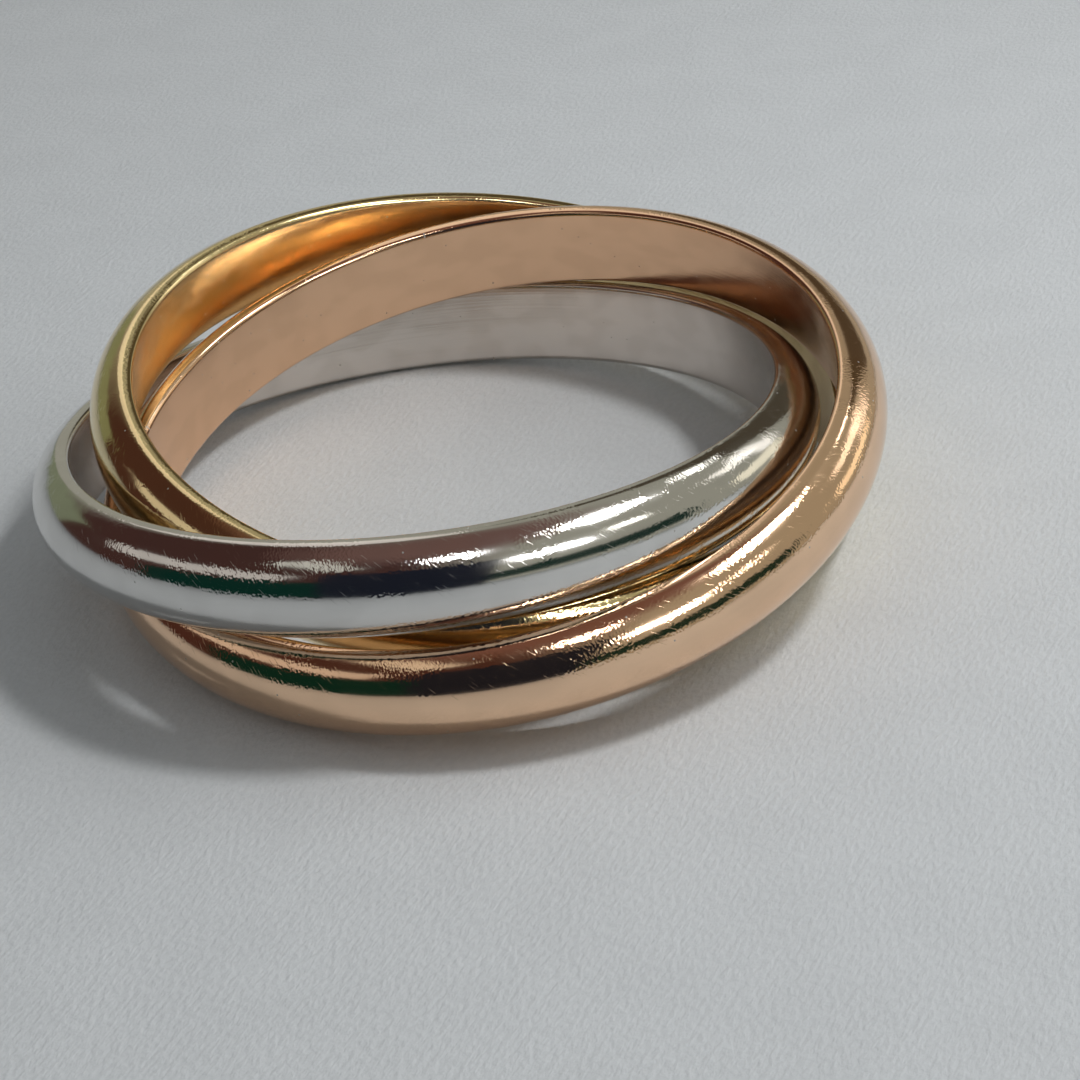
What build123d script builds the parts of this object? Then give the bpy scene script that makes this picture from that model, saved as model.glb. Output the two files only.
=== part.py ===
from build123d import *
import math
import os

import numpy as np

# A rolling ring: three domed bands of yellow, white and rose gold, each threaded
# through the other two. It lies loose on a table, every band tilted across its
# neighbours. Millimetres, +Z up, the table at Z = 0, the origin under the ring's middle.

# One band's section, the same for all three: flat inside, domed outside. The dome
# rises from EDGE_THICKNESS at the sides to BAND_THICKNESS at the crown.
INNER_DIAMETER = 18.0
BAND_WIDTH = 2.33
BAND_THICKNESS = 1.11
EDGE_THICKNESS = 0.24

# The rounded shoulder's radius as a share of the dome's rise, and the rounded inner
# edge's radius as a share of EDGE_THICKNESS
SHOULDER_SHARE = 0.48
INNER_EDGE_SHARE = 0.6

# Free space between any two bands where they cross
BAND_CLEARANCE = 0.06

# How each band lies. raised_side is the direction of its high side, and rise is how
# much that side climbs over the inner radius, as a share of the band width. aside is
# the direction of its middle from the ring's middle, and shift is how far, as a share
# of the band thickness. Directions are degrees from +X towards +Y.
BANDS = {
    "yellow_band": {"raised_side": 148.8, "rise": 0.678, "aside": 60.4, "shift": 0.890},
    "white_band": {"raised_side": 276.8, "rise": 0.597, "aside": 185.4, "shift": 0.933},
    "rose_band": {"raised_side": 43.3, "rise": 0.600, "aside": 305.5, "shift": 0.842},
}

# How finely the bands are sampled while their spread is searched for: stations round
# each band, points on each rounded stretch of its section, and halvings of the search
STATIONS = 240
ARC_POINTS = 8
SEARCH_STEPS = 24

QUARTER_TURN = math.pi / 2


class Section:
    """A band's section: radius from the band's axis, and height from its middle plane."""

    def __init__(self):
        self.bore = INNER_DIAMETER / 2
        self.crown = self.bore + BAND_THICKNESS
        self.edge = self.bore + EDGE_THICKNESS
        self.half_width = BAND_WIDTH / 2
        rise = BAND_THICKNESS - EDGE_THICKNESS
        self.shoulder_radius = SHOULDER_SHARE * rise
        self.inner_radius = INNER_EDGE_SHARE * EDGE_THICKNESS
        self.shoulder_height = self.half_width - self.shoulder_radius
        # The crown's arc is the one that runs smoothly into both shoulders
        self.crown_radius = (
            rise**2 + self.shoulder_height**2 - self.shoulder_radius**2
        ) / (2 * (rise - self.shoulder_radius))
        self.crown_centre = self.crown - self.crown_radius
        self.crown_lean = math.asin(
            self.shoulder_height / (self.crown_radius - self.shoulder_radius)
        )

    def crown_point(self, lean):
        """The crown's point whose normal leans by this angle from straight outwards."""
        return (
            self.crown_centre + self.crown_radius * np.cos(lean),
            self.crown_radius * np.sin(lean),
        )

    def shoulder_point(self, lean):
        """The upper shoulder's point, in the same way."""
        return (
            self.edge + self.shoulder_radius * np.cos(lean),
            self.shoulder_height + self.shoulder_radius * np.sin(lean),
        )

    def inner_edge_point(self, lean):
        """The upper inner edge's point, where the normal leans past straight up."""
        return (
            self.bore + self.inner_radius * (1 + np.cos(lean)),
            self.half_width - self.inner_radius * (1 - np.sin(lean)),
        )

    def face(self):
        """The closed section, in the XZ plane."""
        upper = [
            self.inner_edge_point(2 * QUARTER_TURN),
            self.inner_edge_point(1.5 * QUARTER_TURN),
            self.inner_edge_point(QUARTER_TURN),
            self.shoulder_point(QUARTER_TURN),
            self.shoulder_point((QUARTER_TURN + self.crown_lean) / 2),
            self.crown_point(self.crown_lean),
        ]
        lower = [(radius, -height) for radius, height in upper]
        with BuildSketch(Plane.XZ) as sketch:
            with BuildLine():
                ThreePointArc(*upper[0:3])
                Line(*upper[2:4])
                ThreePointArc(*upper[3:6])
                ThreePointArc(upper[5], (self.crown, 0), lower[5])
                ThreePointArc(*lower[5:2:-1])
                Line(*lower[3:1:-1])
                ThreePointArc(*lower[2::-1])
                Line(lower[0], upper[0])
            make_face()
        return sketch.sketch

    def outline(self):
        """The radii and the heights of points along every rounded stretch."""
        upper = np.hstack([
            self.crown_point(np.linspace(0, self.crown_lean, ARC_POINTS)),
            self.shoulder_point(np.linspace(self.crown_lean, QUARTER_TURN, ARC_POINTS)),
            self.inner_edge_point(np.linspace(QUARTER_TURN, 2 * QUARTER_TURN, ARC_POINTS)),
        ])
        return np.hstack([upper, upper * [[1], [-1]]])

    def distance(self, radius, height):
        """How far points lie outside the section, negative where they are inside it."""
        height = np.abs(height)
        past_crown = radius - self.crown_centre
        past_edge = radius - self.edge
        past_shoulder = height - self.shoulder_height
        short_of_inner = self.bore + self.inner_radius - radius
        past_inner = height - self.half_width + self.inner_radius
        return np.select(
            [
                np.arctan2(height, past_crown) <= self.crown_lean,
                (past_edge >= 0) & (past_shoulder >= 0),
                (short_of_inner >= 0) & (past_inner >= 0),
            ],
            [
                np.hypot(past_crown, height) - self.crown_radius,
                np.hypot(past_edge, past_shoulder) - self.shoulder_radius,
                np.hypot(short_of_inner, past_inner) - self.inner_radius,
            ],
            np.maximum(height - self.half_width, self.bore - radius),
        )


class Lie:
    """Where one band lies: its middle, and the directions uphill, across and of its axis."""

    def __init__(self, section, band, spread):
        direction = math.radians(band["raised_side"])
        tilt = math.atan(spread * band["rise"] * BAND_WIDTH / section.bore)
        aside = math.radians(band["aside"])
        shift = spread * band["shift"] * BAND_THICKNESS
        # The low side rests on the table, on its lower shoulder
        height = (
            section.edge * math.sin(tilt)
            + section.shoulder_height * math.cos(tilt)
            + section.shoulder_radius
        )
        self.middle = np.array([shift * math.cos(aside), shift * math.sin(aside), height])
        level = np.array([math.cos(direction), math.sin(direction), 0])
        upright = np.array([0, 0, 1])
        self.uphill = level * math.cos(tilt) + upright * math.sin(tilt)
        self.axis = upright * math.cos(tilt) - level * math.sin(tilt)
        self.across = np.cross(self.axis, self.uphill)

    def surface_points(self, section):
        """Points all over a band that lies here."""
        angle = np.linspace(0, 4 * QUARTER_TURN, STATIONS, endpoint=False)[:, None]
        radius, height = section.outline()
        along = (radius * np.cos(angle))[..., None] * self.uphill
        across = (radius * np.sin(angle))[..., None] * self.across
        return self.middle + along + across + height[:, None] * self.axis

    def gap_to(self, section, points):
        """The smallest gap from any of the points to a band that lies here."""
        points = points - self.middle
        radius = np.hypot(points @ self.uphill, points @ self.across)
        return section.distance(radius, points @ self.axis).min()

    def location(self):
        """This place as a frame, with X uphill and Z along the axis."""
        plane = Plane(tuple(self.middle), tuple(self.uphill), tuple(self.axis))
        return plane.location


def smallest_gap(section, spread):
    """The smallest gap between any two bands when they are spread out this far."""
    lies = [Lie(section, band, spread) for band in BANDS.values()]
    gaps = [
        other.gap_to(section, lie.surface_points(section))
        for lie in lies
        for other in lies
        if other is not lie
    ]
    return min(gaps)


def settled_spread(section):
    """The spread at which the bands just clear one another."""
    tight = 0
    loose = 1
    while smallest_gap(section, loose) < BAND_CLEARANCE:
        tight = loose
        loose = 2 * loose
    for _ in range(SEARCH_STEPS):
        middle = (tight + loose) / 2
        if smallest_gap(section, middle) < BAND_CLEARANCE:
            tight = middle
        else:
            loose = middle
    return loose


def make_band(section, lie):
    """One band: its section turned once round its axis, then laid in its place."""
    return lie.location() * revolve(section.face(), Axis.Z, 360)


def main():
    section = Section()
    spread = settled_spread(section)
    lies = {name: Lie(section, band, spread) for name, band in BANDS.items()}
    bands = {name: make_band(section, lie) for name, lie in lies.items()}
    box = Compound([band.solid() for band in bands.values()]).bounding_box()
    centring = Vector(-box.center().X, -box.center().Y, 0)
    os.makedirs("parts", exist_ok=True)
    for name, band in bands.items():
        export_step(Location(centring) * band, f"parts/{name}.step")
        middle = Vector(*lies[name].middle) + centring
        print(name, "middle", tuple(middle), "axis", lies[name].axis.tolist())
    print("spread", spread)


main()
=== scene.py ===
import math

import bpy
from mathutils import Matrix, Vector


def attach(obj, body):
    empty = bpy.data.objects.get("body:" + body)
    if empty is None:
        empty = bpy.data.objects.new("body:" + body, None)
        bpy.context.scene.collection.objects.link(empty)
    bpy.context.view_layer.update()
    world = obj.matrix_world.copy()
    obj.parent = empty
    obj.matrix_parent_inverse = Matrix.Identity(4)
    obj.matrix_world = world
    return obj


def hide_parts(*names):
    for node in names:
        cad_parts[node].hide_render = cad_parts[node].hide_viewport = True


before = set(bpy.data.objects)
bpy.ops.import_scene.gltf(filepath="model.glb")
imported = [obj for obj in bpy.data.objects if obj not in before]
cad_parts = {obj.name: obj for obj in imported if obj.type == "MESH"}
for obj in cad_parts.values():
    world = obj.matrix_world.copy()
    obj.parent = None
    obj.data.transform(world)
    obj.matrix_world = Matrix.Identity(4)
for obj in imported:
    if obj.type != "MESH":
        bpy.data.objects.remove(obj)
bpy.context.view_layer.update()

MM = 0.001

# Camera. The photo is a close hand-held shot from the front, about 32 degrees above the
# table and turned a little on its own axis. All of this comes from a fit to the photo.
camera_height = math.radians(31.709)
camera_turn = math.radians(-5.883)
camera_distance = 64.548 * MM
camera_aim = Vector((1.7739, -1.3908, 0)) * MM
focal_length = 83.228
towards_camera = Vector((0, -math.cos(camera_height), math.sin(camera_height)))
bpy.ops.object.camera_add()
camera = bpy.context.object
camera.name = "camera"
camera.matrix_world = (
    Matrix.Translation(camera_aim + towards_camera * camera_distance)
    @ Matrix.Rotation(math.pi / 2 - camera_height, 4, "X")
    @ Matrix.Rotation(camera_turn, 4, "Z")
)
camera.data.lens = focal_length
camera.data.sensor_width = 36
camera.data.shift_x = 0.0033
camera.data.shift_y = -0.0024
camera.data.clip_start = 1 * MM
camera.data.clip_end = 20
bpy.context.scene.camera = camera

# Yellow band. All three bands have one section, flat inside and domed outside with softly
# rounded shoulders, turned from solid gold and polished by hand. A blank that lies level
# round the origin is made once, and every band is a copy of it.
inner_radius = 9.0 * MM
band_thickness = 1.11 * MM
edge_thickness = 0.24 * MM
half_width = 2.33 * MM / 2
dome_rise = band_thickness - edge_thickness

# The shoulders and the inner edges are rounded as in the solid, and the crown's arc runs
# smoothly into both shoulders
shoulder_radius = 0.48 * dome_rise
eased_radius = 0.6 * edge_thickness
shoulder_height = half_width - shoulder_radius
crown_radius = (
    dome_rise**2 + shoulder_height**2 - shoulder_radius**2
) / (2 * (dome_rise - shoulder_radius))
crown_lean = math.asin(shoulder_height / (crown_radius - shoulder_radius))
quarter_turn = math.pi / 2

# How many steps each stretch of the section gets, and the turn round the axis
edge_steps = 8
side_steps = 2
crown_steps = 36
inner_steps = 10
round_steps = 400
weld_distance = 0.001 * MM


def draw_arc(middle_out, middle_up, angle, steps):
    """Carries the section's last point round a middle, as a compass would."""
    bpy.ops.mesh.spin(
        steps=steps, angle=-angle, center=(middle_out, 0, middle_up), axis=(0, 1, 0)
    )


def draw_line(out, up, steps):
    """Carries the section's last point straight on, in equal steps."""
    for _ in range(steps):
        bpy.ops.mesh.extrude_region_move(
            TRANSFORM_OT_translate={"value": (out / steps, 0, up / steps)}
        )


bpy.ops.mesh.primitive_plane_add(size=1 * MM)
blank = bpy.context.object
blank.name = "band_blank"
bpy.ops.object.mode_set(mode="EDIT")
bpy.ops.mesh.merge(type="CENTER")
bpy.ops.transform.translate(value=(inner_radius, 0, half_width - eased_radius))
draw_arc(inner_radius + eased_radius, half_width - eased_radius, quarter_turn, edge_steps)
draw_line(edge_thickness - eased_radius, 0, side_steps)
draw_arc(inner_radius + edge_thickness, shoulder_height, quarter_turn - crown_lean, edge_steps)
draw_arc(inner_radius + band_thickness - crown_radius, 0, 2 * crown_lean, crown_steps)
draw_arc(inner_radius + edge_thickness, -shoulder_height, quarter_turn - crown_lean, edge_steps)
draw_line(eased_radius - edge_thickness, 0, side_steps)
draw_arc(inner_radius + eased_radius, eased_radius - half_width, quarter_turn, edge_steps)
draw_line(0, 2 * (half_width - eased_radius), inner_steps)
bpy.ops.mesh.select_all(action="SELECT")
bpy.ops.mesh.remove_doubles(threshold=weld_distance)
bpy.ops.mesh.spin(
    steps=round_steps, angle=2 * math.pi, center=(0, 0, 0), axis=(0, 0, 1), use_auto_merge=True
)
bpy.ops.mesh.select_all(action="SELECT")
bpy.ops.mesh.remove_doubles(threshold=weld_distance)
bpy.ops.mesh.normals_make_consistent(inside=False)
bpy.ops.object.mode_set(mode="OBJECT")
bpy.ops.object.shade_smooth()

# Every point keeps its place on the blank, in millimetres, so that the wear and the polish
# follow the band wherever it lies.
blank_place = blank.data.attributes.new("blank_place", "FLOAT_VECTOR", "POINT")
for point, stored in zip(blank.data.vertices, blank_place.data):
    stored.vector = point.co / MM


def lay_band(name, middle, axis):
    """Lays a copy of the blank with its middle and its axis where the solid has them."""
    bpy.ops.object.select_all(action="DESELECT")
    blank.select_set(True)
    bpy.context.view_layer.objects.active = blank
    bpy.ops.object.duplicate()
    band = bpy.context.object
    band.name = name
    turn = Vector((0, 0, 1)).rotation_difference(Vector(axis)).to_matrix().to_4x4()
    band.matrix_world = Matrix.Translation(Vector(middle) * MM) @ turn
    bpy.ops.object.transform_apply(location=True, rotation=True, scale=True)
    return band


def add_node(tree, kind, inputs, **settings):
    """Adds a node whose inputs are each a plain value or another node's output."""
    node = tree.nodes.new(kind)
    for name, value in settings.items():
        setattr(node, name, value)
    for key, value in inputs.items():
        if isinstance(value, bpy.types.NodeSocket):
            tree.links.new(value, node.inputs[key])
        else:
            node.inputs[key].default_value = value
    return node


def do_math(tree, operation, *values):
    """One step of arithmetic on numbers or on node outputs."""
    step = add_node(tree, "ShaderNodeMath", dict(enumerate(values)), operation=operation)
    return step.outputs["Value"]


def do_vector_math(tree, operation, *values, output="Vector"):
    """One step of arithmetic on vectors. A length or a dot product is in output Value."""
    step = add_node(tree, "ShaderNodeVectorMath", dict(enumerate(values)), operation=operation)
    return step.outputs[output]


def scale_vector(tree, vector, factor):
    """A vector or colour times a number."""
    step = add_node(
        tree, "ShaderNodeVectorMath", {0: vector, "Scale": factor}, operation="SCALE"
    )
    return step.outputs["Vector"]


def mix_colours(tree, share, first, second):
    """The first colour, and the second where the share is 1."""
    blend = add_node(
        tree, "ShaderNodeMix", {0: share, 6: first, 7: second}, data_type="RGBA"
    )
    return blend.outputs[2]


def draw_out(tree, place, turn, length, width):
    """Places whose unit is this long and this wide, turned by this angle."""
    mapping = add_node(
        tree, "ShaderNodeMapping",
        {"Vector": place, "Rotation": (0, 0, turn), "Scale": (length, width, 1)},
        vector_type="TEXTURE",
    )
    return mapping.outputs["Vector"]


def fade(tree, value, start, end, low=0.0, high=1.0):
    """A smooth ramp from low to high as the value goes from start to end."""
    ramp = {"Value": value, "From Min": start, "From Max": end, "To Min": low, "To Max": high}
    return add_node(
        tree, "ShaderNodeMapRange", ramp, interpolation_type="SMOOTHSTEP"
    ).outputs["Result"]


def noise(tree, place, scale, detail, dimensions):
    """Soft noise with this many lumps to the unit of its place, about 0.5 on average."""
    settings = {"Vector": place, "Scale": scale, "Detail": detail}
    return add_node(
        tree, "ShaderNodeTexNoise", settings, noise_dimensions=dimensions
    ).outputs["Fac"]


def spots(tree, place, scale, channel, share, start, end):
    """Spots at this share of scattered points: 1 within the end distance, 0 past the start."""
    cells = add_node(
        tree, "ShaderNodeTexVoronoi", {"Vector": place, "Scale": scale}, voronoi_dimensions="2D"
    )
    pick = add_node(tree, "ShaderNodeSeparateColor", {"Color": cells.outputs["Color"]})
    return do_math(
        tree, "MULTIPLY",
        fade(tree, cells.outputs["Distance"], start, end),
        do_math(tree, "LESS_THAN", pick.outputs[channel], share),
    )


def polished_gold(name, colour, shift):
    """Polished gold with a hand polish's waves, turning marks, hairlines, scuffs and dust."""
    material = bpy.data.materials.new(name)
    material.use_nodes = True
    tree = material.node_tree
    shader = tree.nodes["Principled BSDF"]
    place = add_node(
        tree, "ShaderNodeAttribute", {}, attribute_name="blank_place"
    ).outputs["Vector"]
    axes = add_node(tree, "ShaderNodeSeparateXYZ", {0: place})
    level = do_vector_math(tree, "MULTIPLY", place, (1, 1, 0))
    radius = do_vector_math(tree, "LENGTH", level, output="Value")

    # The surface laid out flat, in millimetres: round the band, and across the dome. The
    # dome is unrolled round a point in the finger hole, so that no face is squeezed together.
    mean_radius = 10.0
    unrolling_radius = 8.2
    unrolled_size = 1.8
    round_angle = do_math(tree, "ARCTAN2", axes.outputs["Y"], axes.outputs["X"])
    round_way = do_math(tree, "MULTIPLY", do_math(tree, "ABSOLUTE", round_angle), mean_radius)
    past_middle = do_math(tree, "SUBTRACT", radius, unrolling_radius)
    dome_angle = do_math(tree, "ARCTAN2", axes.outputs["Z"], past_middle)
    dome_way = do_math(tree, "MULTIPLY", dome_angle, unrolled_size)
    flat = add_node(tree, "ShaderNodeCombineXYZ", {0: round_way, 1: dome_way}).outputs[0]
    flat = do_vector_math(tree, "ADD", flat, shift)

    # 1 on the inner face at a radius of 9 mm, which is left satin, and 0 on the outside
    inside = fade(tree, radius, 9.06, 9.005)
    outside = do_math(tree, "SUBTRACT", 1.0, inside)

    # Fine marks that run round the band, left by the lathe and the polishing wheel
    along_marks = do_math(tree, "MULTIPLY", round_way, 0.16)
    across_marks = do_math(tree, "MULTIPLY", axes.outputs["Z"], 15.0)
    drawn = add_node(tree, "ShaderNodeCombineXYZ", {0: along_marks, 1: across_marks}).outputs[0]
    turning_marks = noise(tree, drawn, 1.0, 1.0, "2D")

    # Hairlines on the outside, about 0.3 mm long and 0.02 mm wide
    hairline_place = draw_out(tree, flat, 0.7, 1.5, 0.075)
    hairlines = spots(tree, hairline_place, 1.0, "Red", 0.7, 0.11, 0.03)
    hairlines = do_math(tree, "MULTIPLY", hairlines, outside)

    # Patches where the polish has worn to a fine grain and short, dense scuffs
    patches = noise(tree, flat, 0.8, 1.0, "2D")
    worn = do_math(tree, "MULTIPLY", fade(tree, patches, 0.40, 0.60), outside)
    grain = noise(tree, flat, 15.0, 0.0, "2D")
    scuffs = noise(tree, draw_out(tree, flat, 1.1, 0.25, 0.03), 1.0, 1.0, "2D")

    # A few pale specks of dust on the gold
    dust = spots(tree, flat, 2.2, "Green", 0.06, 0.06, 0.03)
    dust_colour = (0.42, 0.4, 0.37, 1)

    # A thin film of handling, which dulls the polish in soft patches
    film = fade(tree, patches, 0.62, 0.36)
    roughness = do_math(tree, "MULTIPLY_ADD", film, 0.05, 0.075)
    roughness = do_math(tree, "MULTIPLY_ADD", inside, 0.13, roughness)
    roughness = do_math(tree, "MULTIPLY_ADD", hairlines, 0.12, roughness)
    roughness = do_math(tree, "MULTIPLY_ADD", dust, 0.4, roughness)
    tree.links.new(roughness, shader.inputs["Roughness"])

    # The film darkens the gold a little, and the inner face is painted darker and warmer, as
    # painted shade inside the finger hole
    tinted = scale_vector(tree, colour, do_math(tree, "MULTIPLY_ADD", film, -0.05, 1.0))
    inner_painted_shade = do_vector_math(tree, "MULTIPLY_ADD", inside, (-0.06, -0.12, -0.16), (1, 1, 1))
    tinted = do_vector_math(tree, "MULTIPLY", tinted, inner_painted_shade)
    tree.links.new(mix_colours(tree, dust, tinted, dust_colour), shader.inputs["Base Color"])
    tree.links.new(do_math(tree, "SUBTRACT", 1.0, dust), shader.inputs["Metallic"])

    # Relief in thousandths of a millimetre: the broad waves of hand polishing, a fine grain,
    # the scuffs, the turning marks and the hairlines' grooves
    waves = noise(tree, place, 0.8, 0.0, "3D")
    grain_depth = do_math(tree, "MULTIPLY_ADD", worn, 2.8, 0.3)
    scuff_depth = do_math(tree, "MULTIPLY", worn, 1.6)
    mark_depth = do_math(tree, "MULTIPLY_ADD", inside, 1.2, 0.15)
    relief = do_math(tree, "MULTIPLY", waves, 6.0)
    relief = do_math(tree, "MULTIPLY_ADD", grain, grain_depth, relief)
    relief = do_math(tree, "MULTIPLY_ADD", scuffs, scuff_depth, relief)
    relief = do_math(tree, "MULTIPLY_ADD", turning_marks, mark_depth, relief)
    relief = do_math(tree, "MULTIPLY_ADD", hairlines, -0.7, relief)
    bump = add_node(tree, "ShaderNodeBump", {"Height": relief, "Distance": 0.001 * MM})
    tree.links.new(bump.outputs["Normal"], shader.inputs["Normal"])
    return material


yellow_band = lay_band(
    "yellow_gold_ring", (0.765800, 0.809942, 2.764257), (0.149106, -0.090302, 0.984689)
)
yellow_gold = polished_gold("yellow_gold_polish", (0.90, 0.74, 0.42), (3.1, 7.4, 0))
yellow_band.data.materials.append(yellow_gold)
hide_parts("yellow_band")
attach(yellow_band, "yellow")

# White band. White gold of the same section, polished to a cool mirror. It lies over the
# other two at the front.
white_band = lay_band(
    "white_gold_ring", (-0.766196, -0.154678, 2.579219), (-0.018236, 0.152936, 0.988068)
)
white_gold = polished_gold("white_gold_polish", (0.70, 0.69, 0.67), (41.7, 2.6, 0))
white_band.data.materials.append(white_gold)
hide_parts("white_band")
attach(white_band, "white")

# Rose band. Rose gold, which gets its colour from copper, of the same section and polish. It
# lies over the other two at the back right.
rose_band = lay_band(
    "rose_gold_ring", (0.821040, -0.823782, 2.586111), (-0.112641, -0.106147, 0.987950)
)
rose_gold = polished_gold("rose_gold_polish", (0.91, 0.625, 0.42), (86.2, 13.8, 0))
rose_band.data.materials.append(rose_gold)
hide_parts("rose_band")
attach(rose_band, "rose")
bpy.data.objects.remove(blank)

# Table. The ring lies on a sheet of pale, smooth paper-like board with a very fine tooth.
# The sheet is a hair below the bands, so that no two faces share a plane.
table_size = 2.4
table_height = -0.02 * MM
bpy.ops.mesh.primitive_plane_add(size=table_size, location=(0, 0, table_height))
table = bpy.context.object
table.name = "table"
bpy.ops.object.transform_apply(location=True, rotation=True, scale=True)
pale_board = bpy.data.materials.new("pale_board")
pale_board.use_nodes = True
board_tree = pale_board.node_tree
board_shader = board_tree.nodes["Principled BSDF"]
board_place = add_node(board_tree, "ShaderNodeTexCoord", {}).outputs["Object"]
board_way = draw_out(board_tree, board_place, 1.05, 0.24 * MM, 0.13 * MM)
tooth = noise(board_tree, board_way, 1.0, 2.0, "2D")
mottle = noise(board_tree, board_place, 420.0, 1.0, "2D")
board_tone = do_math(
    board_tree, "ADD",
    fade(board_tree, tooth, 0.25, 0.75, 0.955, 1.0),
    fade(board_tree, mottle, 0.3, 0.7, -0.012, 0.012),
)
board_colour = scale_vector(board_tree, (0.765, 0.775, 0.78), board_tone)
board_tree.links.new(board_colour, board_shader.inputs["Base Color"])
board_shader.inputs["Roughness"].default_value = 0.6
board_shader.inputs["Specular IOR Level"].default_value = 0.3
board_relief = add_node(board_tree, "ShaderNodeBump", {"Height": tooth, "Distance": 0.03 * MM})
board_tree.links.new(board_relief.outputs["Normal"], board_shader.inputs["Normal"])
table.data.materials.append(pale_board)

# Room. The soft light and what the polished gold mirrors: lit walls to the right and behind,
# a dark room to the left, the photographer in front, and bright windows and lamps. The gold
# sees the walls, and the table only gets an even light from them.
room = bpy.data.worlds.new("room")
bpy.context.scene.world = room
room.use_nodes = True
room.cycles.sampling_method = "NONE"
room_tree = room.node_tree
sight = add_node(room_tree, "ShaderNodeTexCoord", {}).outputs["Generated"]


def direction(azimuth, height):
    """The direction at this azimuth, in degrees clockwise from the far side, and height."""
    level = math.cos(math.radians(height))
    return Vector((
        math.sin(math.radians(azimuth)) * level,
        math.cos(math.radians(azimuth)) * level,
        math.sin(math.radians(height)),
    ))


def tint_room(seen, azimuth, height, inner, outer, colour):
    """Tints a round part of the room, fully within the inner angle and fading to the outer."""
    nearness = do_vector_math(
        room_tree, "DOT_PRODUCT", sight, direction(azimuth, height), output="Value"
    )
    edges = {
        "Value": nearness,
        "From Min": math.cos(math.radians(outer)),
        "From Max": math.cos(math.radians(inner)),
    }
    cover = add_node(room_tree, "ShaderNodeMapRange", edges).outputs["Result"]
    return mix_colours(room_tree, cover, seen, colour)


walls_colour = (0.35, 0.34, 0.28, 1)
dark_side_colour = (0.06, 0.027, 0.022, 1)
ceiling_colour = (0.16, 0.09, 0.075, 1)
light_on_table = (0.215, 0.228, 0.235, 1)
seen = tint_room(walls_colour, -105, 25, 55, 82, dark_side_colour)
seen = tint_room(seen, 0, 90, 15, 32, ceiling_colour)
rays = add_node(room_tree, "ShaderNodeLightPath", {})
seen = mix_colours(room_tree, rays.outputs["Is Glossy Ray"], light_on_table, seen)
room_tree.links.new(seen, room_tree.nodes["Background"].inputs["Color"])


def facing_ring(azimuth, height, turn):
    """The rotation of a panel that faces the ring from this direction."""
    return (
        Matrix.Rotation(-math.radians(azimuth), 3, "Z")
        @ Matrix.Rotation(math.radians(height - 90), 3, "X")
        @ Matrix.Rotation(-math.radians(turn), 3, "Z")
    ).to_euler()


def span(angle, reach):
    """The length that fills this angle, in degrees, when it faces the ring this far away."""
    return 2 * reach * math.tan(math.radians(angle / 2))


def hang_panel(name, azimuth, height, width, tall, turn, brightness, colour):
    """Hangs a glowing panel that only the gold mirrors. All its numbers but the brightness
    are angles in degrees: where it is, how wide and tall it looks from the ring, and its turn."""
    reach = 500 * MM
    bpy.ops.object.light_add(type="AREA", location=direction(azimuth, height) * reach)
    panel = bpy.context.object
    panel.name = name
    panel.rotation_euler = facing_ring(azimuth, height, turn)
    panel.data.shape = "RECTANGLE"
    panel.data.size = span(width, reach)
    panel.data.size_y = span(tall, reach)
    panel.data.energy = brightness * math.pi * panel.data.size * panel.data.size_y
    panel.data.color = colour
    panel.visible_camera = False
    panel.visible_diffuse = False


def stand_card(name, azimuth, height, width, tall, turn, colour):
    """Stands a dark thing of the room, as a card that glows evenly with its own dim colour
    instead of being lit, and that only the gold mirrors. The numbers are as for a panel."""
    reach = 530 * MM
    bpy.ops.mesh.primitive_plane_add(
        size=1,
        location=direction(azimuth, height) * reach,
        rotation=facing_ring(azimuth, height, turn),
    )
    card = bpy.context.object
    card.name = name
    card.scale = (span(width, reach), span(tall, reach), 1)
    bpy.ops.object.transform_apply(location=True, rotation=True, scale=True)
    dark = bpy.data.materials.new(name)
    dark.use_nodes = True
    dark.node_tree.nodes.remove(dark.node_tree.nodes["Principled BSDF"])
    glow = add_node(dark.node_tree, "ShaderNodeEmission", {"Color": (*colour, 1)})
    dark.node_tree.links.new(
        glow.outputs["Emission"], dark.node_tree.nodes["Material Output"].inputs["Surface"]
    )
    dark.cycles.emission_sampling = "NONE"
    card.data.materials.append(dark)
    card.visible_camera = False
    card.visible_diffuse = False
    card.visible_shadow = False


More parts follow.
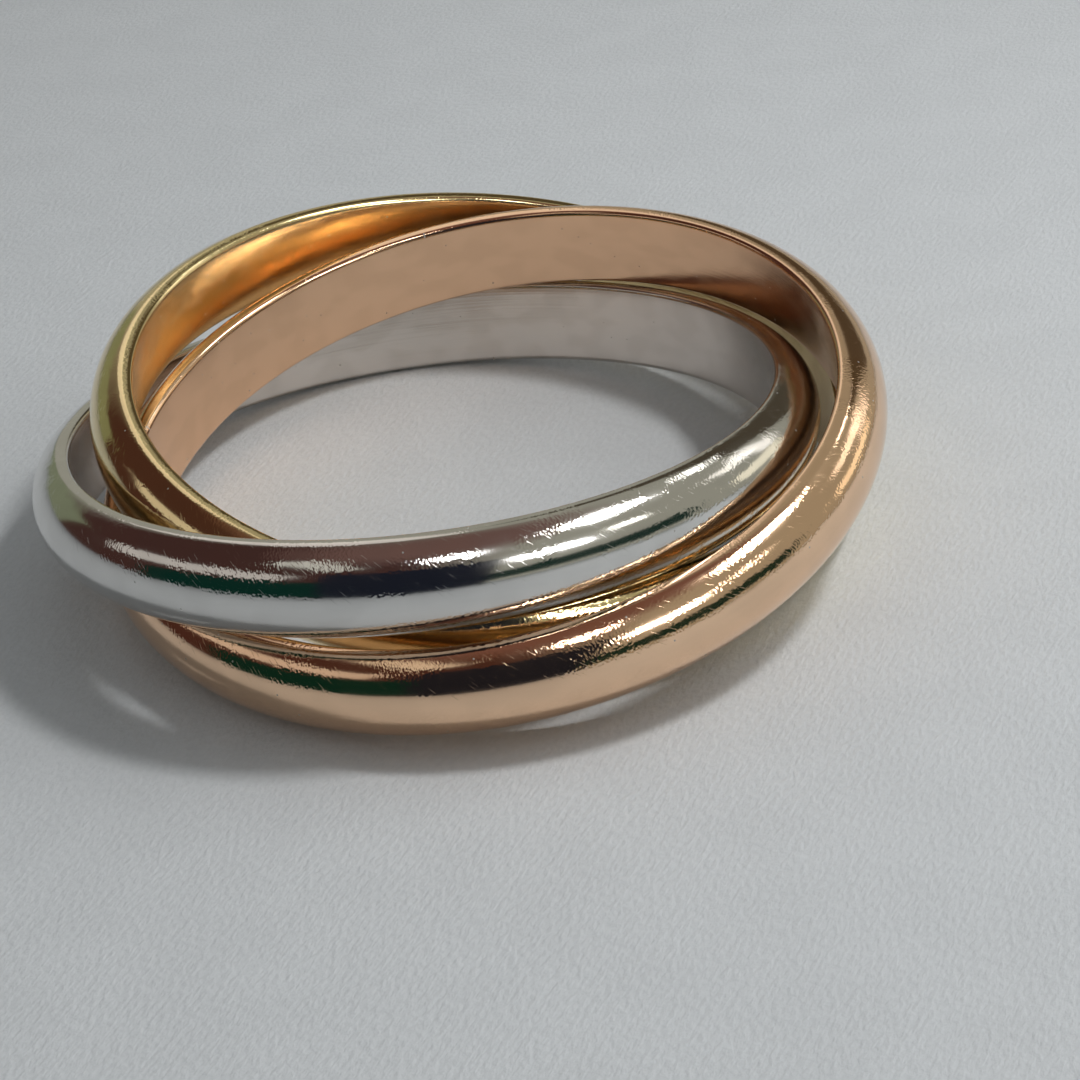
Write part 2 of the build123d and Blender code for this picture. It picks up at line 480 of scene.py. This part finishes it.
# Azimuth, height, width, tallness and turn in degrees, then brightness and colour
hang_panel("window_right", 88, 61, 19, 10, 15, 14, (1, 1, 0.98))
hang_panel("window_front", 144, 35, 19, 8, 0, 13, (1, 1, 1))
hang_panel("lamp_front", 172, 61, 9, 8, 0, 11, (1, 1, 1))
hang_panel("lamp_right", 115, 38, 9, 6, 20, 4, (1, 0.98, 0.9))
hang_panel("lit_wall_near", 57, 26, 8, 19, 15, 1.1, (1, 0.95, 0.9))
hang_panel("shelf_lamp", 45, 44, 9, 3, 0, 5, (1, 1, 0.95))
hang_panel("lit_wall_high", 66, 31, 15, 8, 12, 1.2, (1, 0.95, 0.88))
hang_panel("lit_wall_low", 71, 12, 24, 9, 0, 0.8, (1, 0.9, 0.68))
hang_panel("curtain", -15, 42, 17, 34, 0, 0.5, (1, 0.9, 0.86))
hang_panel("high_cupboard", -127, 57, 25, 9, 24, 0.57, (0.97, 1, 0.88))
hang_panel("low_cupboard", -100, 31, 56, 11, -16, 0.5, (1, 0.98, 0.9))

# Azimuth, height, width, tallness and turn in degrees, then colour
stand_card("photographer", -171, 22, 47, 48, 0, (0.012, 0.014, 0.022))
stand_card("green_door", -122, 11, 56, 30, -13, (0.004, 0.026, 0.018))
stand_card("dark_shelf", 136, 12, 64, 13, 0, (0.012, 0.03, 0.022))
stand_card("dark_corner", 24, 26, 38, 31, 0, (0.075, 0.06, 0.04))
stand_card("pale_chest", -38, 9, 32, 18, 0, (0.20, 0.22, 0.14))

# The table's own light: a window on the right, which casts the ring's shadow, and the soft
# light of a wall behind it. The gold mirrors neither, because the panels stand in for both.


def shine_on_table(name, azimuth, height, reach, size, energy, colour):
    """Lights the table from this direction with a square lamp."""
    bpy.ops.object.light_add(type="AREA", location=direction(azimuth, height) * reach)
    lamp = bpy.context.object
    lamp.name = name
    lamp.rotation_euler = facing_ring(azimuth, height, 0)
    lamp.data.size = size
    lamp.data.energy = energy
    lamp.data.color = colour
    lamp.visible_camera = False
    lamp.visible_glossy = False


daylight = (0.97, 0.99, 1)
shine_on_table("window_light", 90, 60, 110 * MM, 14.5 * MM, 0.041, daylight)
shine_on_table("wall_light", 80, 36, 250 * MM, 190 * MM, 0.15, daylight)
bpy.context.scene.view_settings.view_transform = "Standard"
